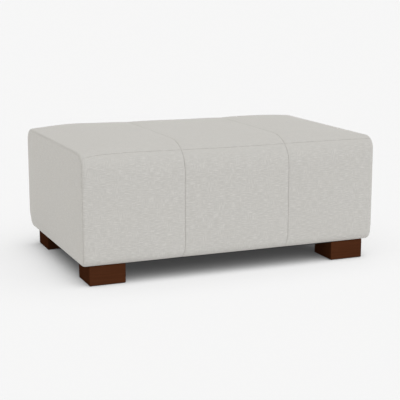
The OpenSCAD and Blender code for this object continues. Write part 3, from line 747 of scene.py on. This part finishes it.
def wholeGirth(x, start):
    # s at each x from the front over the top to the back, with close rows beside the top seam
    near = [0.15, 0.35, 0.55, 0.75, 0.88, 0.95, 0.98, 1]
    far = [0.02, 0.05, 0.12, 0.28, 0.5, 0.75, 1]
    seam, top = seamPlace(x), np.linspace(4, 5, 19)[1:]
    half = np.stack([0 * x + value for value in start] + [blend(3, seam, value) for value in near]
                    + [blend(seam, 4, value) for value in far] + [0 * x + value for value in top], 1)
    return np.concatenate([half, 10 - half[:, -2::-1]], 1)


def stations():
    # where the rows of the padding stand along X, closer together beside the seams
    close = [seam + off for seam in body["seams"] for off in padding["seamRows"]]
    wide = np.arange(-padding["coreX"], padding["coreX"] + 1, padding["coreX"] / padding["halfRows"])
    wide = [x for x in wide if min(abs(x - seam) for seam in body["seams"]) > padding["seamClear"]]
    return np.sort(np.array(close + wide))


def girthGrid(x, s, inset):
    wide = x[:, None] + 0 * s
    y, z = halfGirth(wide, np.minimum(s, 10 - s), inset + 0 * s)
    return np.stack([wide, np.where(s > 5, y, -y), z], -1)


def fibreWrap():
    x = stations()
    s = wholeGirth(x, [1.5, 1.67, 1.84, *np.linspace(2, 3, 22)])
    half, wide, width = np.minimum(s, 10 - s), x[:, None] + 0 * s, padding["grooveWidth"]
    toPanel = np.minimum(*(np.abs(wide - seam) for seam in body["seams"]))
    toSeam = np.minimum(halfLength - np.abs(wide), toPanel)
    across = seamAcross(wide, half)
    pressed = 1 - (1 - np.exp(-(toSeam / width) ** 2)) * (1 - np.exp(-(across / width) ** 2))
    full = body["fullness"] * nearSeam(toSeam, across, body["fullReach"])
    dip = np.clip(half - 1, 0, 1) * (body["draw"] + full + padding["groove"] * pressed)
    long, girth = padding["lumpWaves"]
    waves = np.sin(wide / padding["lumpLength"] * long) + np.sin(s * girth)
    lump = padding["lump"] * (0.5 + 0.25 * waves)
    shape = closedShell(girthGrid(x, s, padding["wrapIn"] + dip + lump), girthGrid(x, s, padding["wrapInner"]))
    padPiece("fibreWrap", "fibre_wrap", shape, fibre)


def fibreWrapEnd(side, word):
    panel, edge, radius = EndPanel(side, 0), body["endEdge"], body["endEdge"] - padding["wrapIn"]
    close = np.array([0, 0.004, 0.009, 0.015, 0.022, 0.03, 0.04, 0.06, 0.09, 0.14])
    c = np.concatenate([close - 1, np.linspace(-0.8, 0.8, 33), (1 - close)[::-1]])
    y, z, depth, swell = panel.face(panel.rowPlaces(padding["spacing"]), c, padding["wrapIn"])
    short = np.clip(edge - depth, 0, radius)
    angle = np.degrees(np.arcsin(short / radius))
    reach = np.sqrt(radius ** 2 - short ** 2)
    reach = reach - padding["endGroove"] * np.exp(-((angle - 45) / padding["endGrooveWidth"]) ** 2)
    acrossLump, upLump = padding["endLumps"]
    lump = padding["lump"] * (0.5 + 0.5 * np.sin(y / acrossLump) * np.sin(z / upLump)) * (short <= 0)
    out = edgeX + np.maximum(reach, 0) + swell - lump
    core = 0 * y + padding["coreX"] + padding["coreClear"]
    shape = closedShell(*(np.stack([x, y, z], -1) * (side, 1, 1) for x in (out, core)))
    padPiece("fibreWrapEnd" + word.capitalize(), f"fibre_wrap_{word}_end", shape, fibre)


def arched(y):
    return padding["springArch"] * np.maximum(0, 1 - (y / padding["springY"]) ** 2)


def seatFoam():
    x = stations()
    outer = girthGrid(x, wholeGirth(x, [3]), padding["foamIn"])
    inner = outer.copy()
    inner[..., 2] = nodeBox("seat_foam")[0].z + arched(outer[..., 1])
    padPiece("seatFoam", "seat_foam", closedShell(outer, inner), foam, softEdge=5)


def extruded(profile, low, high, count):
    # a profile in YZ drawn out along X
    points = np.array([(x, y, z) for x in np.linspace(low, high, count + 1) for y, z in profile])
    size = len(profile)
    faces = [(i * size + j, i * size + (j + 1) % size, (i + 1) * size + (j + 1) % size, (i + 1) * size + j)
             for i in range(count) for j in range(size)]
    return points, faces + [tuple(range(size))[::-1], tuple(range(count * size, (count + 1) * size))]


def longPad(side, word):
    low, high = nodeBox(word + "_pad")
    near, far = sorted((abs(low.y), abs(high.y)))
    edge = halfDepth - body["lowerEdge"]
    radius, top = far - edge, high.z - padding["topClear"]
    profile = [(near, low.z)]
    profile += [(edge + radius * math.sin(turn), low.z + radius * (1 - math.cos(turn)))
                for turn in np.radians(np.linspace(0, 90, 9))]
    below, above = padding["rows"]
    profile += [(far, z) for z in np.linspace(low.z + below, high.z - above, 12)]
    shape = extruded([(side * y, z) for y, z in profile + [(far, top), (near, top)]], low.x, high.x, 60)
    padPiece(word + "Pad", word + "_pad", shape, foam, softEdge=3)


def roundedBlock(low, high, radius, step):
    # a box with rounded edges, cut into cells of about one step
    size, middle = (high - low) / 2, (high + low) / 2
    counts = [max(4, round(2 * value / step)) for value in size]
    lines = []
    for value, count in zip(size, counts):
        inner = np.linspace(-value + radius, value - radius, count + 1)
        lines.append(np.concatenate([[-value, -value + 0.3 * radius], inner, [value - 0.3 * radius, value]]))
    points, faces = [], []
    for axis in range(3):
        u, v = (axis + 1) % 3, (axis + 2) % 3
        for side in (-1, 1):
            grid = np.zeros((len(lines[u]), len(lines[v]), 3))
            grid[..., axis] = side * size[axis]
            grid[..., u], grid[..., v] = np.meshgrid(lines[u], lines[v], indexing="ij")
            faces += gridFaces(*grid.shape[:2], sum(len(part) for part in points))
            points.append(grid.reshape(-1, 3))
    points = np.concatenate(points)
    core = np.clip(points, -(size - radius), size - radius)
    away = points - core
    away /= np.linalg.norm(away, axis=1)[:, None]
    return core + radius * away + middle, faces


def endPad(word):
    low, high = map(np.array, nodeBox(word + "_pad"))
    shape = roundedBlock(low, high, padding["blockRadius"], padding["blockStep"])
    padPiece(word + "Pad", word + "_pad", shape, foam, merge=True)


def edgeStrip(word):
    low, high = nodeBox("edge_strip_" + word)
    y = np.linspace(low.y, high.y, 41)
    profile = [(value, low.z) for value in y[::-1]] + list(zip(y, high.z - padding["springArch"] + arched(y)))
    shape = extruded(profile, low.x, high.x, 6)
    padPiece("edgeStrip" + word.capitalize(), "edge_strip_" + word, shape, foam, softEdge=2)


fibre, foam = fibreFinish(), foamFinish()
fibreWrap()
seatFoam()
for side, end, face in ((-1, "left", "front"), (1, "right", "back")):
    fibreWrapEnd(side, end)
    longPad(side, face)
    endPad(end)
    edgeStrip(end)
print("padding laid")


# Deck cloth over the springs: it sags a little between them
deck = {
    "thickness": 1, "sag": 1.4, "springHalf": 27, "sagReach": 14, "spacing": 9, "thread": 0.0022, "clear": 0.15,
    "edgeClear": 0.3, "beyondSprings": 12, "fade": 20, "turnedIn": 2,
    "light": (0.55, 0.46, 0.31), "dark": (0.36, 0.29, 0.18), "bump": (0.5, 0.0012),
}


def deckFinish():
    cloth = Finish("deck cloth", "deck_cloth", Roughness=0.9, Specular_IOR_Level=0.2)
    slub = cloth.noise((40, 400, 40))
    share = cloth.ranged(cloth.plainWeave(deck["thread"]), -1, 1) * 0.5 + cloth.ranged(slub) * 0.5
    return cloth.finished(deck, share, share)


def deckCloth():
    low, high = nodeBox("deck_cloth", 0)
    boxes = [nodeBox(name) for name in sorted(nodes) if name[:7] == "spring_" and name[7:].isdigit()]
    springs = [(left.x + right.x) / 2 for left, right in boxes]
    clear, spacing = deck["edgeClear"], deck["spacing"]
    x, y = (np.linspace(start + clear, end - clear, round((end - start) / spacing) + 1)
            for start, end in ((low.x, high.x), (low.y, high.y)))
    x, y = np.meshgrid(x, y, indexing="ij")
    clear = np.min([np.abs(x - place) for place in springs], 0) - deck["springHalf"]
    last = springs[-1] + deck["springHalf"] + deck["beyondSprings"]
    held = np.clip((last - np.abs(x)) / deck["fade"], 0, 1) * np.clip(1 - (y / padding["springY"]) ** 2, 0, 1)
    sag = deck["sag"] * (1 - np.exp(-np.maximum(clear, 0) / deck["sagReach"])) * held
    under = np.stack([x, y, low.z + deck["clear"] + arched(y) - sag], -1)
    piece = meshPiece("deckCloth", *closedShell(under + (0, 0, deck["thickness"]), under), deckFinish())
    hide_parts("deck_cloth")


deckCloth()
print("deck cloth stretched")


# Dust cover under the frame: black spun cloth with a folded hem, stapled round its edge and round the feet
dust = {
    "thickness": 0.5, "hem": 14, "hemStep": 0.45, "hemSlope": 0.6, "sag": 2.2, "sagReach": 90, "ripple": 0.25,
    "rippleReach": 30, "rippleWaves": ((31, 57), (-71, 23)), "spacing": 9, "clear": 0.15, "footGap": 1,
    "cutShare": 1.06,
    "staplePitch": 58, "stapleIn": 7, "stapleDown": 0.1, "staple": (10, 1.1, 0.6), "stapleRadius": 0.28,
    "stapleStep": 1.6,
    "light": (0.022, 0.022, 0.024), "dark": (0.010, 0.010, 0.011), "dot": 900, "bump": (0.4, 0.0006),
}


def dustFinish():
    spun = Finish("spun dust cloth", "dust_cover", Roughness=0.8, Specular_IOR_Level=0.3, Sheen_Weight=0.2)
    dots = spun.cells(dust["dot"], {"distance": "CHEBYCHEV"}, Randomness=0.2)
    share = spun.ranged(dots, 0.1, 0.5) * 0.6 + spun.noise((700, 180, 400), 4, 0.7) * 0.4
    return spun.finished(dust, share, share)


def dustOutline():
    # half the sheet's size, where it is cut out for a foot, and its height
    high, (near, far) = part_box("dust_cover")[1] / mm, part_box("foot_front_right")
    notch = ((near / mm).x - dust["footGap"], -(far.y / mm) - dust["footGap"])
    return (high.x, high.y), notch, high.z


def outlineDistance(x, y, full, notch):
    # distance in from the edge of the cross-shaped sheet, negative outside it
    x, y = np.abs(x), np.abs(y)
    outX, outY = x - notch[0], y - notch[1]
    corner = np.select([(outX > 0) & (outY > 0), outX > 0, outY > 0], [-np.minimum(outX, outY), -outY, -outX],
                       np.hypot(outX, outY))
    return np.minimum(np.minimum(full[0] - x, full[1] - y), corner)


def dustCover():
    full, notch, top = dustOutline()
    hem, slope = dust["hem"], dust["hemSlope"]
    steps = [0, 1, 3, hem / 2, hem - slope, hem + 0.2, hem + 4]

    def lines(reach, inner):
        # close together beside the folds and wider apart between them
        close = [place - step for place in (reach, inner) for step in steps]
        last, spacing = steps[-1], dust["spacing"]
        wide = [*np.linspace(0, inner - last, round((inner - last) / spacing) + 1)[1:-1],
                *np.linspace(inner, reach - last, max(2, round((reach - inner) / spacing)))[1:-1]]
        line = np.unique(np.round(close + wide, 3))
        return np.concatenate([-line[::-1], [0], line])

    x, y = np.meshgrid(lines(full[0], notch[0]), lines(full[1], notch[1]), indexing="ij")
    depth = outlineDistance(x, y, full, notch)
    inward = np.clip(depth - hem, 0, None)
    waves = sum(np.sin(x / wide + y / deep) for wide, deep in dust["rippleWaves"])
    sag = dust["sag"] * (1 - np.exp(-inward / dust["sagReach"]))
    sag += dust["ripple"] * (1 - np.exp(-inward / dust["rippleReach"])) * waves
    upper = np.stack([x, y, top - dust["clear"] - sag], -1).reshape(-1, 3)
    thick = dust["thickness"] + dust["hemStep"] * np.clip((hem - depth) / slope, 0, 1)
    lower = upper - thick.reshape(-1, 1) * (0, 0, 1)
    faces = [face for face in gridFaces(*x.shape)
             if outlineDistance(*upper[list(face), :2].mean(0), full, notch) > 0]
    edges = dict.fromkeys(pair for face in faces for pair in zip(face, face[1:] + face[:1]))
    rim = [(here, there) for here, there in edges if (there, here) not in edges]
    count = x.size
    faces += [tuple(k + count for k in face) for face in flipped(faces)]
    faces += [(here, here + count, there + count, there) for here, there in rim]
    used = sorted({k for face in faces for k in face})
    index = {k: number for number, k in enumerate(used)}
    faces = [tuple(index[k] for k in face) for face in faces]
    piece = meshPiece("dustCover", np.concatenate([upper, lower])[used], faces, dustFinish())
    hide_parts("dust_cover")
    width, length = (2 * (size + hem) * mm for size in full)
    cut = 4 * (full[0] * full[1] - (full[0] - notch[0]) * (full[1] - notch[1])) * mm * mm
    cut * dust["cutShare"]


def staples(steel):
    full, notch, top = dustOutline()
    (wide, deep), (notchX, notchY) = ([value - dust["stapleIn"] for value in size] for size in (full, notch))
    runs = [((-notchX, -deep), (notchX, -deep)), ((wide, -notchY), (wide, notchY)),
            ((notchX, deep), (-notchX, deep)), ((-wide, notchY), (-wide, -notchY))]
    signs = [(sx, sy) for sx in (-1, 1) for sy in (-1, 1)]
    runs += [((sx * notchX, sy * deep), (sx * notchX, sy * notchY)) for sx, sy in signs]
    runs += [((sx * notchX, sy * notchY), (sx * wide, sy * notchY)) for sx, sy in signs]
    size = np.array(dust["staple"]) / 2
    block, quads = roundedBlock(-size, size, dust["stapleRadius"], dust["stapleStep"])
    base = top - dust["clear"] - dust["thickness"] - dust["hemStep"] - dust["stapleDown"]
    parts, faces = [], []
    for start, end in runs:
        start, end = np.array(start), np.array(end)
        length = np.linalg.norm(end - start)
        count = max(2, round(length / dust["staplePitch"]))
        aheadX, aheadY = (end - start) / length
        turned = block @ np.array([(aheadX, aheadY, 0), (-aheadY, aheadX, 0), (0, 0, 1)])
        for number in range(count):
            faces += [tuple(k + len(block) * len(parts) for k in quad) for quad in quads]
            parts.append(turned + (*blend(start, end, (number + 0.5) / count), base))
    print("staples:", len(parts))
    return meshPiece("dustCoverStaples", np.concatenate(parts), faces, steel, merge=True)


# Finishes of the frame, springs and fixings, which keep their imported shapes
timberLook = {
    "light": (0.72, 0.53, 0.31), "dark": (0.5, 0.31, 0.15), "knot": (0.25, 0.13, 0.06), "rings": 30,
    "along": (3.2, 26), "across": (70, 900), "roughness": (0.6, 0.85), "bump": (0.25, 0.0008),
}
plyLook = {"light": (0.62, 0.44, 0.25), "dark": (0.38, 0.23, 0.11), "layer": 0.0022, "bump": (0.3, 0.0006)}
boardLook = {"light": (0.25, 0.14, 0.075), "dark": (0.12, 0.06, 0.03), "bump": (0.3, 0.0008)}
springLook = {
    "light": (0.30, 0.30, 0.31), "dark": (0.12, 0.12, 0.125), "roughness": (0.35, 0.55), "cloud": 60,
    "bump": (0.15, 0.0003),
}
zincLook = {
    "light": (0.62, 0.62, 0.60), "dark": (0.42, 0.42, 0.41), "roughness": (0.28, 0.45), "cloud": 130,
    "bump": (0.15, 0.0003),
}
glideLook = {
    "light": (0.05, 0.05, 0.052), "dark": (0.014, 0.014, 0.015), "roughness": (0.4, 0.62),
    "bump": (0.2, 0.0003),
}
# the feet's third colour is a painted highlight that lightens their sharp edges
footLook = {
    "light": (0.037, 0.0118, 0.0047), "dark": (0.023, 0.0068, 0.0026), "wearAndPaintedHighlight": (0.054, 0.019, 0.0085),
    "rings": 26, "roughness": (0.5, 0.65), "bump": (0.12, 0.0004),
}


def timberFinish(name, run):
    # run is the axis that the grain follows
    wood, look = Finish("pine " + name, "timber", Roughness=0.7, Specular_IOR_Level=0.3), timberLook
    grain, fibres = ([along if axis == run else wide for axis in range(3)]
                     for along, wide in zip(look["along"], look["across"]))
    rings = wood.noise(grain, 3, 0.5) * look["rings"]
    bands = wood.ranged(rings.maths("SINE"), -1, 1)
    pores = wood.noise(fibres)
    tone = wood.blended(wood.ranged(bands * 0.55 + pores * 0.45, 0.2, 0.85), look["light"], look["dark"])
    knot = wood.ranged(wood.cells([value / 9 for value in grain]), 0.05, 0.12, (0.7, 0))
    return wood.finished(look, knot, bands * 0.3 + pores * 0.7, tone, look["knot"],
                         Roughness=wood.ranged(pores, 0, 1, look["roughness"]))


def plywoodFinish():
    ply = Finish("birch plywood", "plywood", Roughness=0.65, Specular_IOR_Level=0.3)
    veneer = ply.ranged(ply.threads(2, plyLook["layer"]), -0.3, 0.3)
    share = ply.ranged(ply.noise((14, 260, 900))) * 0.5 + veneer * 0.5
    return ply.finished(plyLook, share, share, plyLook["light"], plyLook["dark"])


def hardboardFinish():
    board = Finish("hardboard", "hardboard", Roughness=0.75, Specular_IOR_Level=0.3)
    fibres = board.noise(420, 4, 0.75)
    share = board.ranged(fibres * 0.7 + board.noise(16, 3, 0.5) * 0.3, 0.35, 0.65)
    return board.finished(boardLook, share, fibres)


def steelFinish(name, slot, look):
    steel = Finish(name, slot, Metallic=1.0)
    cloud, fine = steel.noise(look["cloud"], 4, 0.65), steel.noise(look["cloud"] * 14, 2)
    return steel.finished(look, steel.ranged(cloud * 0.7 + fine * 0.3, 0.35, 0.65), fine,
                          Roughness=steel.ranged(cloud, to=look["roughness"]))


def glideFinish():
    plastic = Finish("glide plastic", "glide", Specular_IOR_Level=0.4)
    scuff = plastic.noise((300, 1400, 300))
    return plastic.finished(glideLook, plastic.ranged(scuff, 0.5, 0.75), scuff,
                            Roughness=plastic.ranged(scuff, to=glideLook["roughness"]))


def footFinish():
    wood = Finish("dark stained wood", "foot_wood", Specular_IOR_Level=0.0)
    rings = wood.noise((5, 42, 60), 3, 0.5) * footLook["rings"]
    bands = wood.ranged(rings.maths("SINE"), -1, 1)
    pores, cloud = wood.noise((45, 1100, 1100), 3, 0.65), wood.noise(22, 2, 0.5)
    share = wood.ranged(bands * 0.35 + pores * 0.4 + cloud * 0.25, 0.25, 0.75)
    tone = wood.blended(share, footLook["dark"], footLook["light"])
    # painted highlight: the sharp edges of the feet are painted lighter, standing in for the light they catch
    edge = wood.add("ShaderNodeNewGeometry", output="Pointiness")
    return wood.finished(footLook, wood.ranged(edge, 0.52, 0.6, (0, 0.5)), bands * 0.2 + pores * 0.8, tone,
                         footLook["wearAndPaintedHighlight"], Roughness=wood.ranged(pores, to=footLook["roughness"]))


def dressFrame():
    grain = "along the length", "along the depth", "upright"
    pine = [timberFinish(name, run) for run, name in enumerate(grain)]
    spring = steelFinish("spring steel", "spring_steel", springLook)
    zinc = steelFinish("zinc plated steel", "zinc_steel", zincLook)
    starts = {
        "leg_plate": plywoodFinish(), "foot_glides": glideFinish(), "foot_": footFinish(), "spring": spring,
        "tie_wires": spring, "frame_screws": zinc, "tee_nuts": zinc, "hanger_bolts": zinc,
        "corner_blocks": pine[2], "center_studs": pine[2], "center_stretcher": pine[1],
    }
    ends = {"_board": hardboardFinish(), "_rail": pine[1]}
    for name, node in sorted(nodes.items()):
        finish = next((starts[start] for start in starts if name.startswith(start)), None)
        if finish is None:
            finish = next((ends[end] for end in ends if name.endswith(end)), None)
        if name.endswith("_rail") and name.startswith(("front", "back")):
            finish = pine[0]
        if finish:
            for number in range(len(node.data.materials)):
                node.data.materials[number] = finish.material
    staples(zinc)


dustCover()
dressFrame()
print("frame, springs and feet finished")


# Floor and light: an even pale studio, with one lamp each for the floor, the stool and the front feet
studio = {
    "floorSize": 60, "floorColour": (0.06, 0.06, 0.06), "floorGlow": 0.048, "floorDrift": 1.002,
    "sky": 0.9216, "skyColour": (0.997, 0.988, 0.967),
    "floorLamp": {"towards": (-0.16, 0.4, -1), "strength": 46.9, "angle": 104},
    "stoolLamp": {"towards": (-0.28, 0.38, -0.40), "strength": 0.565, "angle": 30, "colour": (0.92, 0.98, 1.1)},
    "footLamp": {"towards": (0.12, 0.95, -0.25), "strength": 2.35, "angle": 20},
}


def linked(name, objects):
    group = bpy.data.collections.new(name)
    for ob in objects:
        group.objects.link(ob)
    return group


def lamp(name, look, receivers, blockers=()):
    light = bpy.data.lights.new(name, "SUN")
    light.energy = look["strength"]
    light.angle = math.radians(look["angle"])
    light.color = look.get("colour", (1, 1, 1))
    lit = placed(name, light, look["towards"])
    lit.light_linking.receiver_collection = linked(name, receivers)
    if blockers:
        lit.light_linking.blocker_collection = linked(name + " blockers", blockers)


def makeStudio():
    world = bpy.data.worlds.new("studio")
    world.use_nodes = True
    scene.world = world
    sky = world.node_tree.nodes["Background"].inputs
    sky["Color"].default_value = (*studio["skyColour"], 1)
    sky["Strength"].default_value = studio["sky"]
    scene.view_settings.view_transform = "Standard"
    size = studio["floorSize"]
    corners = [(x * size, y * size, 0) for x, y in ((-1, -1), (1, -1), (1, 1), (-1, 1))]
    mesh = bpy.data.meshes.new("floor")
    mesh.from_pydata(corners, [], [(0, 1, 2, 3)])
    floor = placed("floor", mesh)
    paper = Finish("studio floor", None, Roughness=1, Specular_IOR_Level=0, Emission_Color=(1, 1, 1, 1),
                   Emission_Strength=studio["floorGlow"])
    colour = studio["floorColour"]
    lighter = [value * studio["floorDrift"] for value in colour]
    paper.wire(Base_Color=paper.blended(paper.noise(3, 2, 0.5), colour, lighter))
    mesh.materials.append(paper.material)
    # only the dust cover and the feet block the floor lamp, so that their soft shadow stays under the stool
    feet = [ob for ob in scene.objects if ob.name.startswith("foot_")]
    lamp("floor lamp", studio["floorLamp"], [floor], feet + [bpy.data.objects["dustCover"]])
    stool = [ob for ob in scene.objects if ob.type == "MESH" and ob is not floor and ob not in feet]
    lamp("stool lamp", studio["stoolLamp"], stool)
    lamp("foot lamp", studio["footLamp"], [ob for ob in feet if ob.name.startswith("foot_front")])


makeStudio()
print("studio lit")
